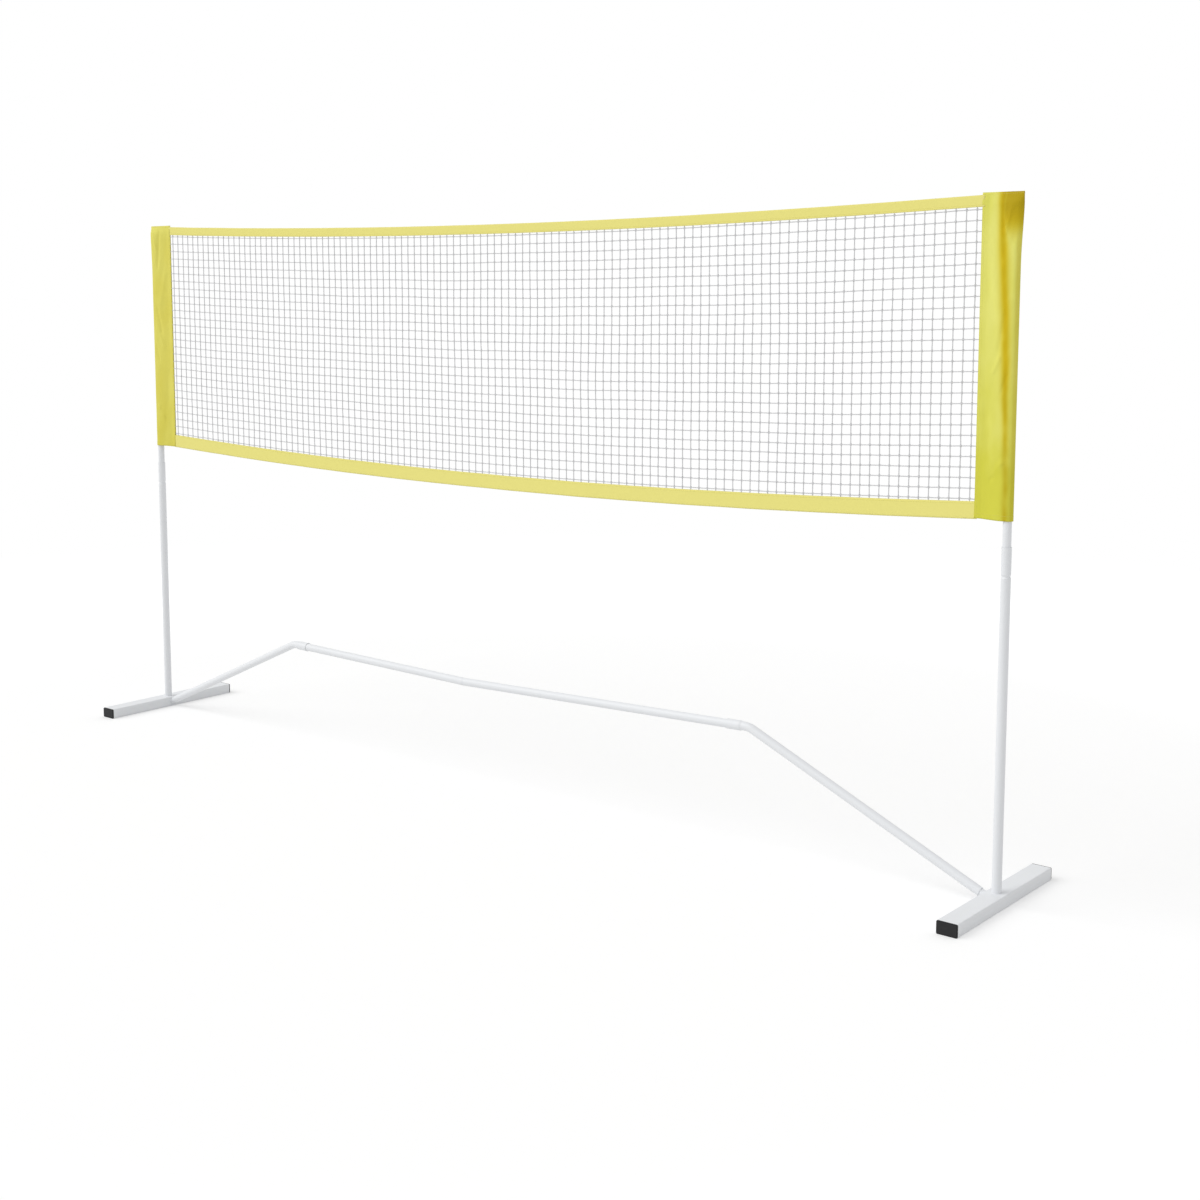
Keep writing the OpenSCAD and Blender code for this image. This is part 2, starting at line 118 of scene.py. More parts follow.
class NetSizes(bpy.types.PropertyGroup):
    """Sizes of the net between the posts."""
    top: length_prop("Top", "Height of the net's top edge at the posts", 1.554)
    bottom: length_prop("Bottom", "Height of the net's bottom edge at the posts", 0.859)
    top_sag: length_prop("Top sag", "Sag of the top edge at mid span", 0.029)
    bottom_sag: length_prop("Bottom sag", "Sag of the bottom edge at mid span", 0.041)
    top_tape: length_prop("Top tape", "Height of the folded top tape", 0.025)
    bottom_tape: length_prop("Bottom tape", "Height of the folded bottom tape", 0.039)
    tape_half: length_prop("Tape half", "Half the thickness of a folded tape", 0.0015)
    tape_cloth: length_prop("Tape cloth", "Thickness of the tape's cloth", 0.00045)
    columns: IntProperty(name="Columns", description="Upright cords", default=112, min=2)
    rows: IntProperty(name="Rows", description="Level cords", default=28, min=2)
    row_pitches: FloatProperty(name="Row pitches", default=27.45, min=2.0,
                               description="Height between the tapes in pitches of the cords")
    cord: length_prop("Cord", "Diameter of the net's cords", 0.0026)
    tuck: length_prop("Tuck", "How far the cords run in between the plies", 0.008)
    billow: length_prop("Billow", "How far the slack net stands off its plane", 0.004)
    wander: length_prop("Wander", "How far the knots stray from an even grid", 0.0026)
    seed: IntProperty(name="Seed", description="Which scatter of the knots is used",
                      default=1, min=1)


class PocketSizes(bpy.types.PropertyGroup):
    """Sizes of the cloth pockets that slip over the posts."""
    inboard: length_prop("Inboard", "From the post's axis to the pocket's inner edge", 0.078)
    seam: length_prop("Seam", "Width of the flat seam that takes the net", 0.016)
    round_half: length_prop("Round half", "Half thickness of the pocket at the post", 0.0112)
    seam_half: length_prop("Seam half", "Half thickness of the flat seam", 0.0015)
    top_half: length_prop("Top half", "Half thickness of the sewn top edge", 0.0009)
    cloth: length_prop("Cloth", "Thickness of the pocket's cloth", 0.0006)
    hem: length_prop("Hem", "Height of the turned-up hem", 0.014)
    reach_low: length_prop("Low reach", "Reach beyond the post's axis at the hem", 0.0125)
    reach_mid: length_prop("Mid reach", "Reach beyond the post's axis at mid height", 0.0122)
    reach_top: length_prop("Top reach", "Reach of the sewn corner beyond the axis", 0.0172)


class FinishColours(bpy.types.PropertyGroup):
    """Colours of the finishes."""
    coat: colour_prop("Coat", "White powder coat of the tubes", (0.80, 0.815, 0.835))
    plastic: colour_prop("Plastic", "Black plastic of plugs and caps", (0.008, 0.008, 0.009))
    # The three pocket cloth colours are lit and shaded copies of one cloth: painted light where
    # air is behind it, painted shade where it is doubled and where the post is behind it
    lit_cloth: colour_prop("Free cloth", "Pocket cloth with air behind it", (0.84, 0.82, 0.20))
    shaded_cloth: colour_prop("Deep cloth", "Pocket cloth doubled or turned from the light",
                            (0.70, 0.68, 0.07))
    post_shaded_cloth: colour_prop("Backed cloth", "Pocket cloth pressed on the post",
                              (0.68, 0.49, 0.006))
    tape: colour_prop("Tape", "Tape cloth", (0.88, 0.81, 0.24))
    thread: colour_prop("Thread", "Sewing thread", (0.80, 0.72, 0.16))
    cord: colour_prop("Cord", "Cords of the net", (0.69, 0.69, 0.70))


class StageSizes(bpy.types.PropertyGroup):
    """Camera, lights and floor."""
    camera_at: FloatVectorProperty(name="Camera", description="Place of the camera",
                                   default=(3.0646, -3.3621, 1.3345), subtype="TRANSLATION")
    yaw: FloatProperty(name="Yaw", description="Turn of the camera about Z from +Y",
                       default=0.67937, subtype="ANGLE")
    pitch: FloatProperty(name="Pitch", description="How far the camera looks down",
                         default=0.11787, subtype="ANGLE")
    roll: FloatProperty(name="Roll", description="Turn of the camera about its line of sight",
                        default=0.00114, subtype="ANGLE")
    lens: FloatProperty(name="Lens", description="Focal length on a 36 mm sensor",
                        default=50.893, unit="CAMERA")
    rise: FloatProperty(name="Shift", description="Upward shift of the lens, in frame widths",
                        default=-0.08535)
    key: FloatProperty(name="Key light", description="Strength of the soft key light",
                       default=1.35, min=0.0)
    sky: FloatProperty(name="Sky", description="Strength of the light from all round",
                       default=0.62, min=0.0)


class Signal:
    """One value in a shader. Arithmetic on it adds Math nodes."""

    def __init__(self, shader, socket):
        self.shader = shader
        self.socket = socket

    def math(self, operation, *values):
        return self.shader.node("ShaderNodeMath", {"operation": operation}, values)

    def __add__(self, other):
        return self.math("ADD", self, other)

    def __sub__(self, other):
        return self.math("SUBTRACT", self, other)

    def __rsub__(self, other):
        return self.math("SUBTRACT", other, self)

    def __mul__(self, other):
        return self.math("MULTIPLY", self, other)

    def __pow__(self, other):
        return self.math("POWER", self, other)

    def sine(self):
        return self.math("SINE", self)

    def high(self, other):
        return self.math("MAXIMUM", self, other)

    __radd__ = __add__
    __rmul__ = __mul__


class Shader:
    """A node tree that is built up by plain calls."""

    def __init__(self, tree):
        self.tree = tree
        tree.nodes.clear()

    def node(self, kind, settings=None, values=(), output=0):
        """Adds a node, applies its settings, then sets or links its sockets."""
        made = self.tree.nodes.new(kind)
        for key, value in (settings or {}).items():
            if key == "stops":
                ramp = made.color_ramp.elements
                while len(ramp) < len(value):
                    ramp.new(1.0)
                for stop, (place, tone) in zip(ramp, value):
                    stop.position = place
                    stop.color = (tone, tone, tone, 1.0)
            else:
                setattr(made, key, value)
        pairs = values.items() if isinstance(values, dict) else enumerate(values)
        for key, value in pairs:
            if isinstance(value, Signal):
                self.tree.links.new(value.socket, made.inputs[key])
            else:
                made.inputs[key].default_value = value
        return Signal(self, made.outputs[output]) if made.outputs else None

    def mix(self, factor, first, second):
        """Colour between first and second."""
        pair = [tone if isinstance(tone, Signal) else (*tone, 1.0) for tone in (first, second)]
        return self.node("ShaderNodeMix", {"data_type": "RGBA"},
                         {0: factor, 6: pair[0], 7: pair[1]}, output=2)

    def grain(self, place, scale, detail=2.0, roughness=0.5):
        """Noise, about 0.5 on average."""
        return self.node("ShaderNodeTexNoise", None,
                         {"Vector": place, "Scale": scale, "Detail": detail,
                          "Roughness": roughness})

    def place(self):
        """Object coordinates."""
        return self.node("ShaderNodeTexCoord", output=3)

    def attribute(self, name):
        """A number kept on the mesh."""
        return self.node("ShaderNodeAttribute", {"attribute_name": name}, output=2)

    def axes(self, vector):
        """A vector's x, y and z."""
        split = self.tree.nodes.new("ShaderNodeSeparateXYZ")
        self.tree.links.new(vector.socket, split.inputs[0])
        return [Signal(self, socket) for socket in split.outputs]

    def bump(self, height, depth):
        """Normal from a height of 0 to 1 that stands for a depth in metres."""
        return self.node("ShaderNodeBump", None, {"Height": height, "Distance": depth})

    def surface(self, **sockets):
        """Principled shader on the output; names use _ for a space."""
        values = {name.replace("_", " "): value for name, value in sockets.items()}
        shade = self.node("ShaderNodeBsdfPrincipled", None, values)
        self.node("ShaderNodeOutputMaterial", None, {"Surface": shade})


def new_material(name):
    """A material and the shader that fills it."""
    material = bpy.data.materials.new(name)
    material.use_nodes = True
    return material, Shader(material.node_tree)


def scaled(colour, share):
    """A colour made darker or lighter."""
    return [share * value for value in colour]


def powder_coat(colours):
    """White powder coat: fine orange peel, faint scuffs and uneven gloss."""
    material, s = new_material("white_powder_coat")
    place = s.place()
    peel = s.grain(place, scale=700.0, detail=3.0)
    cloud = s.grain(place, scale=9.0, detail=4.0)
    scuff = s.node("ShaderNodeValToRGB", {"stops": [(0.63, 0.0), (0.74, 1.0)]},
                   [s.grain(place, scale=60.0, detail=6.0, roughness=0.7)])
    tone = s.mix(cloud, colours.coat, scaled(colours.coat, 1.02))
    s.surface(Base_Color=s.mix(scuff * 0.35, tone, scaled(colours.coat, 0.86)),
              Roughness=0.34 + cloud * 0.16 + scuff * 0.12,
              Normal=s.bump(peel, depth=0.00005), Specular_IOR_Level=0.45)
    return material


def moulded_plastic(colours):
    """Black plastic with a fine spark-eroded grain."""
    material, s = new_material("black_moulded_plastic")
    place = s.place()
    grain = s.grain(place, scale=1600.0, detail=2.0)
    cloud = s.grain(place, scale=40.0, detail=3.0)
    dust = 0.012
    dusty = [value + dust for value in colours.plastic]
    s.surface(Base_Color=s.mix(cloud * 0.5, colours.plastic, dusty),
              Roughness=0.5 + grain * 0.18, Normal=s.bump(grain, depth=0.00006),
              Specular_IOR_Level=0.35)
    return material


def woven(s, pitch):
    """Height of a plain weave on the UV map, whose unit is a metre."""
    u, v, _ = s.axes(s.node("ShaderNodeTexCoord", output=2))
    turn = 2.0 * math.pi / pitch
    across = (u * turn).sine()
    along = (v * turn).sine()
    return 0.5 + across * along * 0.25 + (across + along) * 0.125


def pocket_cloth(colours):
    """Thin yellow woven cloth with painted light and shade: pale as if lit through where air is
    behind it, with painted shade where it is doubled, where the post is behind it and in the
    weave's hollows.
    """
    material, s = new_material("yellow_pocket_cloth")
    weave = woven(s, pitch=0.0009)
    mottle = s.grain(s.place(), scale=35.0, detail=4.0)
    # Two painted shades kept on the mesh: the first over the post, the top and the nose; the
    # second towards the bottom and at the top, less a painted highlight
    backing = s.attribute("backing")
    depth = s.attribute("depth")
    post_shade_share = backing * backing
    blue_left = 0.3      # of the cloth's blue, kept under the painted shade of the post
    # Lit and shaded copies of the cloth, with less blue under the post's painted shade
    free, shaded_tone = [s.mix(post_shade_share, tone, (tone[0], tone[1], blue_left * tone[2]))
                  for tone in (colours.lit_cloth, colours.shaded_cloth)]
    tone = s.mix(depth, free, shaded_tone)
    # The post's painted shade colour, darker still where the second painted shade is strong
    post_shaded_tone = s.mix(depth, colours.post_shaded_cloth, scaled(colours.post_shaded_cloth, 0.72))
    tone = s.mix(backing, tone, post_shaded_tone)
    # Painted shade in the weave's hollows, with faint random mottle
    groove_shade_and_mottle = (1 - weave) * 0.04 + mottle * 0.03
    s.surface(Base_Color=s.mix(groove_shade_and_mottle, tone, (0.0, 0.0, 0.0)), Roughness=0.66 + weave * 0.1,
              Normal=s.bump(weave, depth=0.00012), Sheen_Weight=0.03, Sheen_Roughness=0.5,
              Specular_IOR_Level=0.16)
    return material


def tape_cloth(colours):
    """Pale yellow woven tape, with painted shade in the weave's hollows."""
    material, s = new_material("yellow_tape_cloth")
    weave = woven(s, pitch=0.0011)
    mottle = s.grain(s.place(), scale=50.0, detail=4.0)
    # Painted shade in the weave's hollows, with random mottle
    groove_shade_and_mottle = (1 - weave) * 0.25 + mottle * 0.12
    s.surface(Base_Color=s.mix(groove_shade_and_mottle, colours.tape, scaled(colours.tape, 0.8)),
              Roughness=0.66 + weave * 0.1, Normal=s.bump(weave, depth=0.00012),
              Sheen_Weight=0.05, Sheen_Roughness=0.5, Specular_IOR_Level=0.2)
    return material


def sewing_thread(colours):
    """Twisted thread of the stitches."""
    material, s = new_material("yellow_thread")
    twist = s.grain(s.place(), scale=2500.0, detail=1.0)
    s.surface(Base_Color=s.mix(twist, colours.thread, scaled(colours.thread, 0.75)),
              Roughness=0.55, Normal=s.bump(twist, depth=0.00006))
    return material


def twisted_cord(colours):
    """Thin twisted cord: slanted strands with painted shade in the grooves between them, and
    faint soiling.
    """
    material, s = new_material("net_cord")
    place = s.place()
    x, _, z = s.axes(place)
    strand_pitch = 0.0022
    strand = 0.5 + ((x + z) * (2.0 * math.pi / strand_pitch)).sine() * 0.5
    soil = s.grain(place, scale=14.0, detail=5.0)
    # Painted shade in the grooves between strands, with soiling
    groove_shade_and_mottle = (1 - strand) * 0.3 + soil * 0.15
    s.surface(Base_Color=s.mix(groove_shade_and_mottle, colours.cord, scaled(colours.cord, 0.72)),
              Roughness=0.6 + strand * 0.1, Normal=s.bump(strand, depth=0.00015))
    return material


def clamp(t):
    """Holds a number between 0 and 1."""
    return min(1.0, max(0.0, t))


def smooth(t):
    """Eased step from 0 to 1."""
    t = clamp(t)
    return t * t * (3.0 - 2.0 * t)


def step(value, start, end):
    """Eased step: 0 while value is at start, 1 once it is at end."""
    return smooth((value - start) / (end - start))


def ridge(value, middle, width):
    """1 at the middle, falling away on both sides over about the width."""
    return math.exp(-((value - middle) / width) ** 2)


def ripple(*place):
    """Smooth noise at a place, about -1 to 1."""
    return noise.noise(Vector(place))


def between(a, b, t):
    """The value at a share t of the way from a to b."""
    return a + (b - a) * t


def add_piece(name, bm, material, body):
    """Makes a piece from a bmesh, in place, riding on a body of the frame."""
    mesh = bpy.data.meshes.new(name)
    bm.to_mesh(mesh)
    bm.free()
    return add_mesh(name, mesh, material, body)


def add_mesh(name, mesh, material, body):
    """Makes a piece from a mesh, in place, riding on a body of the frame."""
    mesh.materials.clear()
    mesh.materials.append(material)
    mesh.shade_smooth()
    piece = bpy.data.objects.new(name, mesh)
    bpy.context.scene.collection.objects.link(piece)
    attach(piece, body)
    return piece


def mapped_grid(columns, rows, place, size, values=None):
    """Grid whose corner (u, v), each 0 to 1, goes to place(u, v). The UV map is in metres."""
    bm = bmesh.new()
    uv = bm.loops.layers.uv.new("UVMap")
    bmesh.ops.create_grid(bm, x_segments=columns, y_segments=rows, size=0.5, calc_uvs=False)
    for face in bm.faces:
        for loop in face.loops:
            u, v = loop.vert.co.x + 0.5, loop.vert.co.y + 0.5
            loop[uv].uv = (u * size[0], v * size[1])
    values = values or {}
    for name in values:
        bm.verts.layers.float.new(name)
    layers = [(bm.verts.layers.float[name], value) for name, value in values.items()]
    for vert in bm.verts:
        u, v = vert.co.x + 0.5, vert.co.y + 0.5
        for layer, value in layers:
            vert[layer] = value(u, v)
        vert.co = place(u, v)
    bm.normal_update()
    return bm


def face_outwards(bm):
    """Turns an open sheet so that its faces point away from the plane of the net."""
    score = sum(face.normal.y * face.calc_center_median().y for face in bm.faces)
    if score < 0:
        bmesh.ops.reverse_faces(bm, faces=bm.faces[:])


def thicken(piece, thickness):
    """Gives a sheet its cloth thickness, inwards from the face."""
    solid = piece.modifiers.new("Cloth", "SOLIDIFY")
    solid.thickness = thickness
    solid.offset = -1.0


def strand_piece(name, runs, thickness, material):
    """One piece of many strands. A run is a list of (point, share of the full thickness)."""
    curve = bpy.data.curves.new(name, "CURVE")
    curve.dimensions = "3D"
    curve.bevel_depth = thickness / 2
    curve.bevel_resolution = 1
    curve.use_fill_caps = True
    for run in runs:
        spline = curve.splines.new("POLY")
        spline.points.add(len(run) - 1)
        for place, (point, share) in zip(spline.points, run):
            place.co = (*point, 1.0)
            place.radius = share
    holder = bpy.data.objects.new(name + "_path", curve)
    bpy.context.scene.collection.objects.link(holder)
    depsgraph = bpy.context.evaluated_depsgraph_get()
    mesh = bpy.data.meshes.new_from_object(holder.evaluated_get(depsgraph))
    bpy.data.objects.remove(holder)
    bpy.data.curves.remove(curve)
    return add_mesh(name, mesh, material, "net")


def stitch_runs(points):
    """A stitch at each point but the last, along the row of points."""
    taper, thin = 0.7, 0.4
    runs = []
    for here, there in zip(points, points[1:]):
        half = (there - here).normalized() * (STITCH / 2)
        runs.append([(here - half, thin), (here - taper * half, 1.0),
                     (here + taper * half, 1.0), (here + half, thin)])
    return runs


def even_runs(rows):
    """Strands of one thickness, from rows of points."""
    return [[(point, 1.0) for point in row] for row in rows]


def sag_share(x):
    """1 at mid span and 0 at the posts."""
    return 1.0 - (x / POST_X) ** 2


def top_z(net, x):
    """Height of the net's top edge."""
    return net.top - net.top_sag * sag_share(x)


def bottom_z(net, x):
    """Height of the net's bottom edge."""
    return net.bottom - net.bottom_sag * sag_share(x)


def stand_off(net, x, z):
    """How far the slack net stands off the plane between the posts."""
    slack = max(0.0, 1.0 - (x / TAPE_END) ** 2)
    return net.billow * slack * ripple(1.7 * x, 3.0, 2.6 * z)


def crossing(net, column, row):
    """Point where an upright cord and a level cord are knotted."""
    u = (column + 0.5) / net.columns
    v = 0.5 + (row - 0.5 * (net.rows - 1)) / net.row_pitches
    slack = min(1.0, 8.0 * u * (1.0 - u)) * min(1.0, 5.0 * v * (1.0 - v))
    drift = slack * noise.noise_vector(Vector((0.11 * column, 0.13 * row, 4.2)))
    jitter = 0.25 * noise.noise_vector(Vector((7.3 * column, 5.9 * row, 0.4)))
    x = between(-TAPE_END, TAPE_END, u) + net.wander * (drift.x + jitter.x)
    low = bottom_z(net, x) + net.bottom_tape
    high = top_z(net, x) - net.top_tape
    z = between(low, high, v) + net.wander * (drift.z + jitter.z)
    return Vector((x, stand_off(net, x, z), z))


def knot_runs(point, cord):
    """A knot: two short turns of cord that cross each other."""
    reach, proud = 1.2, 0.28     # in thicknesses of the cord
    thick, thin = 1.3, 0.6
    runs = []
    for lean in (-1, 1):
        way = Vector((lean * 0.62, 0.0, 0.78)) * cord
        lift = Vector((0.0, proud * lean * cord, 0.0))
        runs.append([(point - reach * way, thin), (point - 0.5 * way + lift, thick),
                     (point + 0.5 * way + lift, thick), (point + reach * way, thin)])
    return runs


class NETSET_OT_net_cords(bpy.types.Operator):
    """Net of knotted cords between the tapes and the pockets"""
    bl_idname = "netset.net_cords"
    bl_label = "Net Cords"

    def execute(self, context):
        net = context.scene.net_sizes
        material = twisted_cord(context.scene.finish_colours)
        noise.seed_set(net.seed)     # without a seed, noise_vector differs from run to run
        grid = [[crossing(net, i, j) for j in range(net.rows)] for i in range(net.columns)]
        uprights = []
        for column in grid:
            x = column[0].x
            low = bottom_z(net, x) + net.bottom_tape - net.tuck
            high = top_z(net, x) - net.top_tape + net.tuck
            uprights.append([Vector((x, stand_off(net, x, low), low)), *column,
                             Vector((x, stand_off(net, x, high), high))])
        levels = []
        for j in range(net.rows):
            row = [column[j] for column in grid]
            end = TAPE_END + net.tuck
            levels.append([Vector((-end, 0, row[0].z)), *row, Vector((end, 0, row[-1].z))])
        upright = strand_piece("net_upright_cords", even_runs(uprights), net.cord, material)
        level = strand_piece("net_level_cords", even_runs(levels), net.cord, material)
        half = net.columns // 2
        for name, part in (("net_knots_left", grid[:half]), ("net_knots_right", grid[half:])):
            runs = [run for column in part for point in column
                    for run in knot_runs(point, net.cord)]
            strand_piece(name, runs, net.cord, material)
        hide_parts("net_mesh")
        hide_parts("net_mesh")
        return {"FINISHED"}


def tape_point(net, tape_height, edge_z, way, u, v):
    """Point of a folded tape: u along the net, v from the front free edge over the fold."""
    half = net.tape_half
    end = TAPE_END + 0.7 * net.tuck
    x = between(-end, end, u)
    straight = tape_height - half
    fold = math.pi * half
    run = v * (2 * straight + fold)
    if run < straight:
        y, up = -half, run
    elif run < straight + fold:
        angle = (run - straight) / half
        y, up = -half * math.cos(angle), straight + half * math.sin(angle)
    else:
        y, up = half, 2 * straight + fold - run
    pucker = 0.00035 * ripple(x * 75.0, 0.0, way) * ridge(up, 0.004, 0.004)
    wave = 0.0006 * ripple(x * 9.0, 2.0, way)
    y += math.copysign(pucker, y)
    z = edge_z(net, x) + way * (up - tape_height) + wave * 0.6
    inner = edge_z(net, x) - way * tape_height
    return Vector((x, y + stand_off(net, x, inner) + wave, z))


class NETSET_OT_tapes(bpy.types.Operator):
    """Folded yellow tapes sewn over the net's top and bottom edges"""
    bl_idname = "netset.tapes"
    bl_label = "Tapes"

    def execute(self, context):
        net = context.scene.net_sizes
        cloth = tape_cloth(context.scene.finish_colours)
        thread = sewing_thread(context.scene.finish_colours)
        for name, height, edge, way in (("top_tape", net.top_tape, top_z, 1),
                                        ("bottom_tape", net.bottom_tape, bottom_z, -1)):
            size = (2 * TAPE_END, 2 * height)

            def place(u, v):
                return tape_point(net, height, edge, way, u, v)

            bm = mapped_grid(*TAPE_GRID, place, size)
            face_outwards(bm)
            tape = add_piece(name + "_cloth", bm, cloth, "net")
            thicken(tape, net.tape_cloth)
            count = round(2 * TAPE_END / STITCH_STEP)
            around = 2 * (height - net.tape_half) + math.pi * net.tape_half
            sewn = []
            for v in (TAPE_SEAM / around, 1 - TAPE_SEAM / around):
                sewn += stitch_runs([place((k + 0.5) / count, v) for k in range(count)])
            seam = strand_piece(name + "_stitches", sewn, THREAD, thread)
            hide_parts(name)
        return {"FINISHED"}


# Pockets: s is the distance from the post's axis towards the net, z the height.
# Folds: (height, distance) at both ends, width, depth
POCKET_FOLDS = [
    ((1.556, 0.030), (1.404, 0.018), 0.0060, -0.0030),
    ((1.534, 0.002), (1.456, 0.024), 0.0050, 0.0018),
    ((1.504, -0.010), (1.434, 0.004), 0.0045, -0.0012),
    ((1.420, 0.052), (1.290, 0.028), 0.0090, 0.0018),
    ((1.310, 0.012), (1.200, 0.034), 0.0060, -0.0020),
    ((1.215, 0.020), (1.165, 0.046), 0.0050, 0.0018),
    ((1.180, 0.004), (1.120, 0.022), 0.0050, -0.0016),
    ((0.947, 0.038), (0.993, 0.004), 0.0055, 0.0022),
    ((0.935, 0.046), (0.981, 0.012), 0.0045, -0.0014),
    ((1.110, 0.054), (0.960, 0.046), 0.0090, -0.0012),
]


def fold_height(s, z):
    """Sum of the folds at distance s from the post's axis and height z."""
    total = 0.0
    for (z0, s0), (z1, s1), width, depth in POCKET_FOLDS:
        dz, ds = z1 - z0, s1 - s0
        t = clamp(((z - z0) * dz + (s - s0) * ds) / (dz * dz + ds * ds))
        ease = smooth(4.0 * t + 0.15) * smooth(4.0 * (1.0 - t))
        away = math.hypot(z - z0 - t * dz, s - s0 - t * ds)
        total += depth * ease * ridge(away, 0.0, width)
    return total


def share_up(z):
    """0 at the bottom of a pocket, 1 at its top."""
    return (z - POCKET_LOW) / (POCKET_TOP - POCKET_LOW)


def cloth_noise(s, z, side):
    """Broad and small patches of the pocket's tone, each about -1 to 1."""
    return ripple(s * 24.0, 3.0 * side, z * 13.0), ripple(s * 60.0, 7.0, z * 34.0 + side)


def backing(s, z, side):
    """Painted shade of a pocket: 1 in a band where the cloth lies on the post, moving inboard
    towards the top, and over the top; some on the nose, which turns from the light; 0 where the
    cloth hangs free.
    """
    rise = share_up(z)
    broad, small = cloth_noise(s, z, side)
    # The left pocket: even painted shade with random patches, lighter towards the top
    if side < 0:
        return clamp(0.30 + 0.08 * broad - 0.10 * step(rise, 0.7, 1.0))
    # The right pocket: a painted shade band along the post, moving inboard towards the top
    middle = between(0.002, 0.012, step(rise, 0.0, 0.55)) + 0.016 * step(rise, 0.5, 1.0)
    width = between(0.0080, 0.0120, step(rise, 0.1, 0.6))
    strength = min(1.0, between(0.60, 1.05, step(rise, 0.15, 0.55)) + 0.20 * small)
    band = strength * ridge(s, middle + 0.003 * broad, width)
    # Painted shade over the top of the pocket
    top_shade = 0.97 * step(rise, 0.83, 0.93) * step(s + 0.006 * broad, 0.034, 0.020)
    # Painted shade on the outer nose, which turns from the light
    nose = 0.30 * step(s, -0.004, -0.010)
    return clamp(max(band, top_shade, nose))


def cloth_shade(s, z, side):
    """Painted shade where the pocket's cloth is doubled and where it turns from the light:
    stronger towards the bottom and at the top, less a painted highlight strip, with random
    patches.
    """
    rise = share_up(z)
    broad, small = cloth_noise(s, z, side)
    # Painted shade, stronger towards the bottom where the cloth is doubled
    low = 0.55 * step(rise, 0.30, 0.10) + 0.22 * step(rise, 0.58, 0.33)
    # The left pocket: a weaker painted shade towards the bottom, with random patches
    if side < 0:
        return clamp(0.30 * low + 0.15 * broad)
    # Painted shade at the top, stronger near the post
    top_shade = step(rise, 0.88, 0.96) * between(0.25, 0.75, step(s, 0.034, 0.020))
    # Painted highlight: a lighter strip inboard of the post, from mid height up
    light = 0.30 * ridge(s, 0.046, 0.016) * step(rise, 0.45, 0.65)
    return clamp(0.30 + low + top_shade - light + 0.26 * broad + 0.12 * small)


def pocket_section(pocket, t, z):
    """Distance from the post's axis and half thickness; t is 0 at the nose, 1 at the seam."""
    rise = share_up(z)
    reach = between(pocket.reach_low, pocket.reach_mid, step(rise, 0.0, 0.5))
    reach = between(reach, pocket.reach_top, step(rise, 0.78, 0.98))
    nose = 0.2      # share of t that goes round the nose
    if t < nose:
        angle = 0.5 * math.pi * t / nose
        s = -reach * math.cos(angle)
        half = pocket.round_half * math.sin(angle)
    else:
        s = pocket.inboard * (t - nose) / (1.0 - nose)
        u = min(1.0, s / (pocket.inboard - pocket.seam))
        fall = 0.55 * smooth(u) + 0.45 * (1.0 - math.cos(0.5 * math.pi * u))
        half = between(pocket.round_half, pocket.seam_half, fall)
    over_cap = CAP_TOP + 0.001
    closed = clamp((z - over_cap) / (POCKET_TOP - over_cap))
    return s, between(half, min(half, pocket.top_half), closed)


def pocket_point(net, pocket, side, u, v):
    """Point of a pocket: u from the front seam round the post to the back seam, v up."""
    z = between(POCKET_LOW + 0.0005, POCKET_TOP - 0.0003, v)
    t = abs(2.0 * u - 1.0)
    face = -1.0 if u < 0.5 else 1.0
    s, half = pocket_section(pocket, t, z)
    loose = step(t, 0.0, 0.3) * step(t, 1.0, 0.8)
    below_top = step(z, POCKET_TOP, POCKET_TOP - 0.02)
    grain = 0.0007 * ripple(s * 60.0, face, z * 14.0 + side)
    lift = loose * below_top * (fold_height(s, z) + grain)
    hem_edge = POCKET_LOW + pocket.hem
    hem = 0.0005 * step(z, hem_edge, hem_edge - 0.003) * step(t, 0.0, 0.1)
    low_tape = net.bottom + net.bottom_tape
    high_tape = net.top - net.top_tape
    taped = max(step(z, low_tape + 0.004, low_tape - 0.004),
                step(z, high_tape - 0.004, high_tape + 0.004))
    over_tape = 0.0007 * taped * step(t, 0.84, 0.90) * below_top
    dip = 0.0012 * ripple(s * 22.0, 5.0, side) * step(v, 0.05, 0.0)
    return Vector((side * (POST_X - s), face * (half + lift + hem + over_tape), z + dip))


class NETSET_OT_pockets(bpy.types.Operator):
    """Yellow cloth pockets, closed at the top, that slip over the posts"""
    bl_idname = "netset.pockets"
    bl_label = "Pockets"

    def execute(self, context):
        net = context.scene.net_sizes
        pocket = context.scene.pocket_sizes
        cloth = pocket_cloth(context.scene.finish_colours)
        thread = sewing_thread(context.scene.finish_colours)
        height = POCKET_TOP - POCKET_LOW
        nose = 0.022      # cloth that goes round the post, on each side
        around = 2 * (pocket.inboard + nose)
        for name, side in (("left", -1), ("right", 1)):

            def place(u, v):
                return pocket_point(net, pocket, side, u, v)

            def toned(tone):
                def value(u, v):
                    z = between(POCKET_LOW, POCKET_TOP, v)
                    return tone(pocket_section(pocket, abs(2 * u - 1), z)[0], z, side)
                return value

            # Painted shade for the cloth's material, kept on the mesh
            bm = mapped_grid(*POCKET_GRID, place, (around, height),
                             {"backing": toned(backing), "depth": toned(cloth_shade)})
            face_outwards(bm)
            sleeve = add_piece(f"pocket_{name}", bm, cloth, "net")
            thicken(sleeve, pocket.cloth)
            sewn = []
            count = round(height / STITCH_STEP)
            for edge in SIDE_SEAMS:
                for u in (edge, 1 - edge):
                    sewn += stitch_runs([place(u, (k + 0.5) / count) for k in range(count)])
            count = round(around / STITCH_STEP)
            for v in ((pocket.hem - HEM_SEAM) / height, 1 - TOP_SEAM / height):
                sewn += stitch_runs([place((k + 0.5) / count, v) for k in range(count)])
            seam = strand_piece(f"pocket_{name}_stitches", sewn, THREAD, thread)
            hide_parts(f"sleeve_{name}")
        return {"FINISHED"}


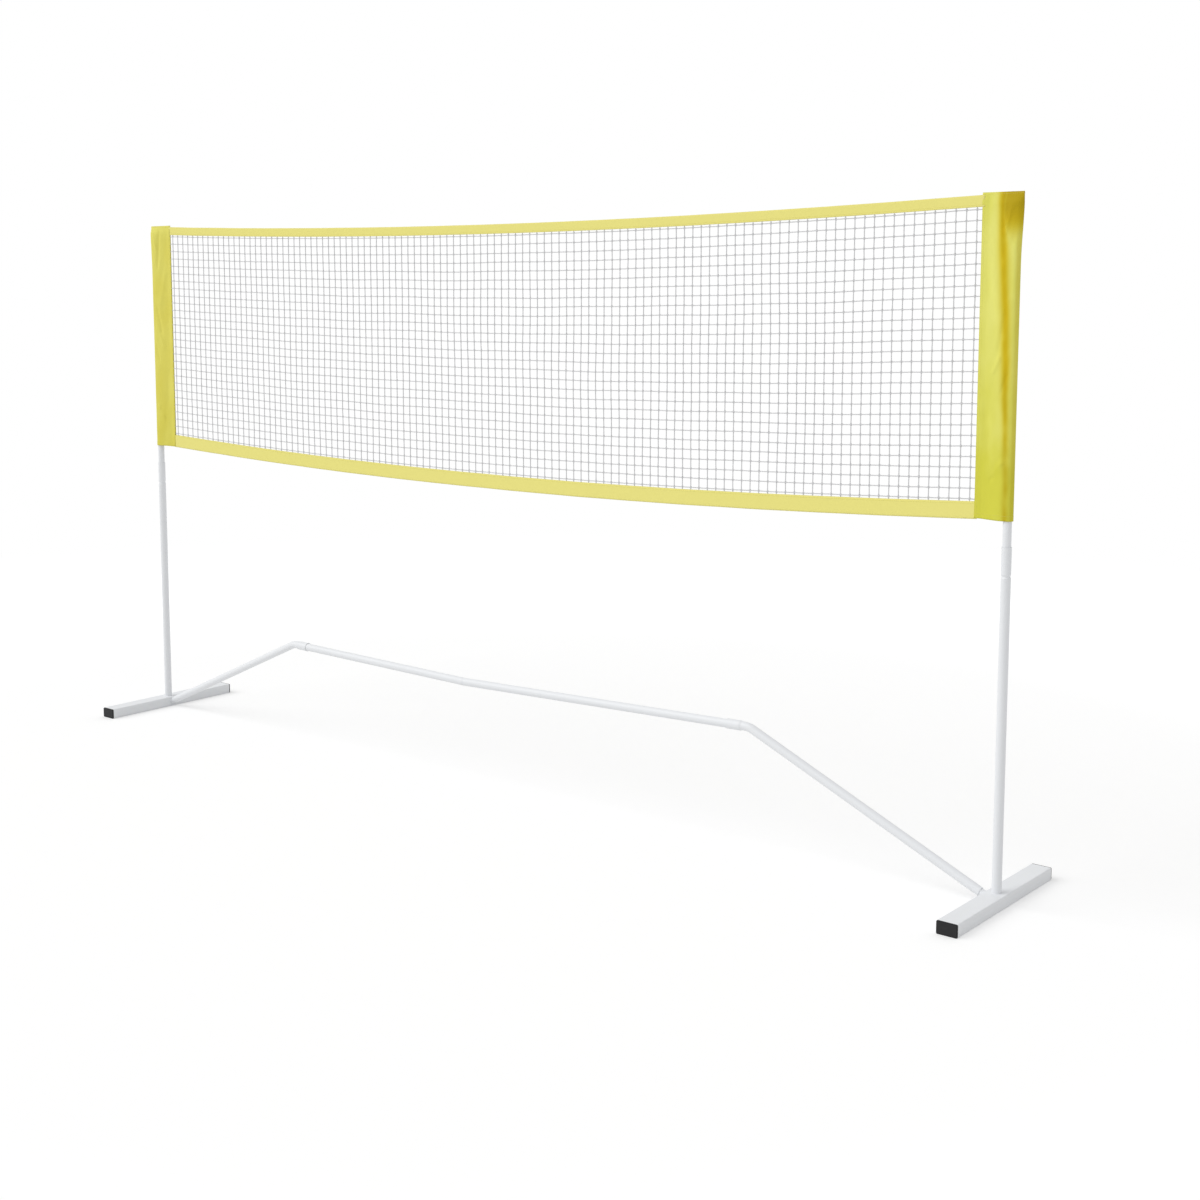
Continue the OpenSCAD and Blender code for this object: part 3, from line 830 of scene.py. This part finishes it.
class NETSET_OT_frame_finish(bpy.types.Operator):
    """White powder coat on the tubes and black plastic on the plugs and caps"""
    bl_idname = "netset.frame_finish"
    bl_label = "Frame Finish"

    def execute(self, context):
        colours = context.scene.finish_colours
        for names, material in ((WHITE_TUBES, powder_coat(colours)),
                                (BLACK_PLASTIC, moulded_plastic(colours))):
            for name in names:
                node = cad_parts[name]
                node.data.materials.clear()
                node.data.materials.append(material)
        return {"FINISHED"}


class NETSET_OT_welds(bpy.types.Operator):
    """Weld beads where the crossbar's stubs meet the feet"""
    bl_idname = "netset.welds"
    bl_label = "Weld Beads"

    def execute(self, context):
        material = bpy.data.materials["white_powder_coat"]
        size = (0.06, 0.01)      # about once round the stub and once round the bead
        for name, side in (("left", -1), ("right", 1)):
            centre = Vector((side * FOOT_INNER_X, 0.0, STUB_HEIGHT))

            def place(u, v):
                around, turn = 2 * math.pi * u, 2 * math.pi * v
                scales = 1.0 + 0.10 * math.sin(26 * around) + 0.08 * math.sin(5 * around)
                bead = WELD_BEAD * scales
                out = STUB_RADIUS + 0.8 * bead * math.cos(turn)
                off = bead * math.sin(turn)
                return centre + Vector((-side * off, math.sin(around) * out,
                                        math.cos(around) * out / math.cos(STUB_SLOPE)))

            bm = mapped_grid(*WELD_GRID, place, size)
            bmesh.ops.remove_doubles(bm, verts=bm.verts[:], dist=1e-6)
            bmesh.ops.recalc_face_normals(bm, faces=bm.faces[:])
            add_piece(f"stub_weld_{name}", bm, material, "base")
        return {"FINISHED"}


class NETSET_OT_stage(bpy.types.Operator):
    """Pale floor, soft light and camera"""
    bl_idname = "netset.stage"
    bl_label = "Stage"

    def execute(self, context):
        scene = context.scene
        stage = scene.stage_sizes
        camera = bpy.data.objects.new("camera", bpy.data.cameras.new("camera"))
        scene.collection.objects.link(camera)
        camera.data.sensor_width = 36.0
        camera.data.lens = stage.lens
        camera.data.shift_y = stage.rise
        camera.data.clip_end = 200.0
        turn = Matrix.Rotation(stage.yaw, 4, "Z")
        turn = turn @ Matrix.Rotation(0.5 * math.pi - stage.pitch, 4, "X")
        turn = turn @ Matrix.Rotation(stage.roll, 4, "Z")
        camera.matrix_world = Matrix.Translation(stage.camera_at) @ turn
        scene.camera = camera

        key = bpy.data.objects.new("key", bpy.data.lights.new("key", "SUN"))
        scene.collection.objects.link(key)
        key.data.energy = stage.key
        key.data.angle = KEY_SPREAD
        key.rotation_euler = Vector(KEY_FROM).to_track_quat("Z", "Y").to_euler()

        world = bpy.data.worlds.new("studio")
        world.use_nodes = True
        scene.world = world
        s = Shader(world.node_tree)
        seen = self.seen(s)
        strength = stage.sky + seen * (1.0 - stage.sky)
        light = s.node("ShaderNodeBackground", None, {"Color": (1, 1, 1, 1),
                                                      "Strength": strength})
        s.node("ShaderNodeOutputWorld", None, {"Surface": light})

        bm = bmesh.new()
        bmesh.ops.create_grid(bm, x_segments=8, y_segments=8, size=FLOOR_HALF)
        mesh = bpy.data.meshes.new("floor")
        bm.to_mesh(mesh)
        bm.free()
        material, s = new_material("pale_floor")
        x, y, _ = s.axes(s.place())
        far = (x * x + y * y) ** 0.5
        fade = s.node("ShaderNodeMapRange", {"interpolation_type": "SMOOTHSTEP"},
                      {"Value": far, "From Min": PAINT_ENDS, "From Max": WHITE_STARTS})
        paint = s.node("ShaderNodeBsdfDiffuse", None, {"Color": FLOOR_PAINT})
        glow = s.node("ShaderNodeEmission", None,
                      {"Strength": GLOW_NEAR - fade * (GLOW_NEAR - 1.0)})
        factor = self.seen(s) * (GLOW_SHARE + fade * (1.0 - GLOW_SHARE))
        surface = s.node("ShaderNodeMixShader", None, [factor, paint, glow])
        s.node("ShaderNodeOutputMaterial", None, {"Surface": surface})
        mesh.materials.append(material)
        floor = bpy.data.objects.new("floor", mesh)
        scene.collection.objects.link(floor)
        scene.view_settings.view_transform = "Standard"
        return {"FINISHED"}

    def seen(self, s):
        """1 for what the camera sees, straight, mirrored or through glass."""
        camera = s.node("ShaderNodeLightPath", output=0)
        glossy = s.node("ShaderNodeLightPath", output=3)
        through = s.node("ShaderNodeLightPath", output=6)
        return camera.high(glossy).high(through)


class NETSET_PT_panel(bpy.types.Panel):
    """Builds the net set piece by piece"""
    bl_label = "Net Set"
    bl_idname = "NETSET_PT_panel"
    bl_space_type = "VIEW_3D"
    bl_region_type = "UI"
    bl_category = "Net Set"

    def draw(self, context):
        for operator in OPERATORS:
            self.layout.operator(operator.bl_idname)
        for group in GROUPS:
            box = self.layout.box()
            settings = getattr(context.scene, group)
            for key in settings.__annotations__:
                box.prop(settings, key)


GROUPS = {
    "net_sizes": NetSizes, "pocket_sizes": PocketSizes,
    "finish_colours": FinishColours, "stage_sizes": StageSizes,
}
OPERATORS = [
    NETSET_OT_stage, NETSET_OT_frame_finish, NETSET_OT_welds, NETSET_OT_net_cords,
    NETSET_OT_tapes, NETSET_OT_pockets,
]


def register():
    for kind in [*GROUPS.values(), *OPERATORS, NETSET_PT_panel]:
        bpy.utils.register_class(kind)
    for name, group in GROUPS.items():
        setattr(bpy.types.Scene, name, PointerProperty(type=group))


def unregister():
    for name in GROUPS:
        delattr(bpy.types.Scene, name)
    for kind in reversed([*GROUPS.values(), *OPERATORS, NETSET_PT_panel]):
        bpy.utils.unregister_class(kind)


def main():
    """Builds every piece in order."""
    register()
    bpy.ops.netset.stage()
    bpy.ops.netset.frame_finish()
    bpy.ops.netset.welds()
    bpy.ops.netset.net_cords()
    bpy.ops.netset.tapes()
    bpy.ops.netset.pockets()


if __name__ == "__main__":
    main()
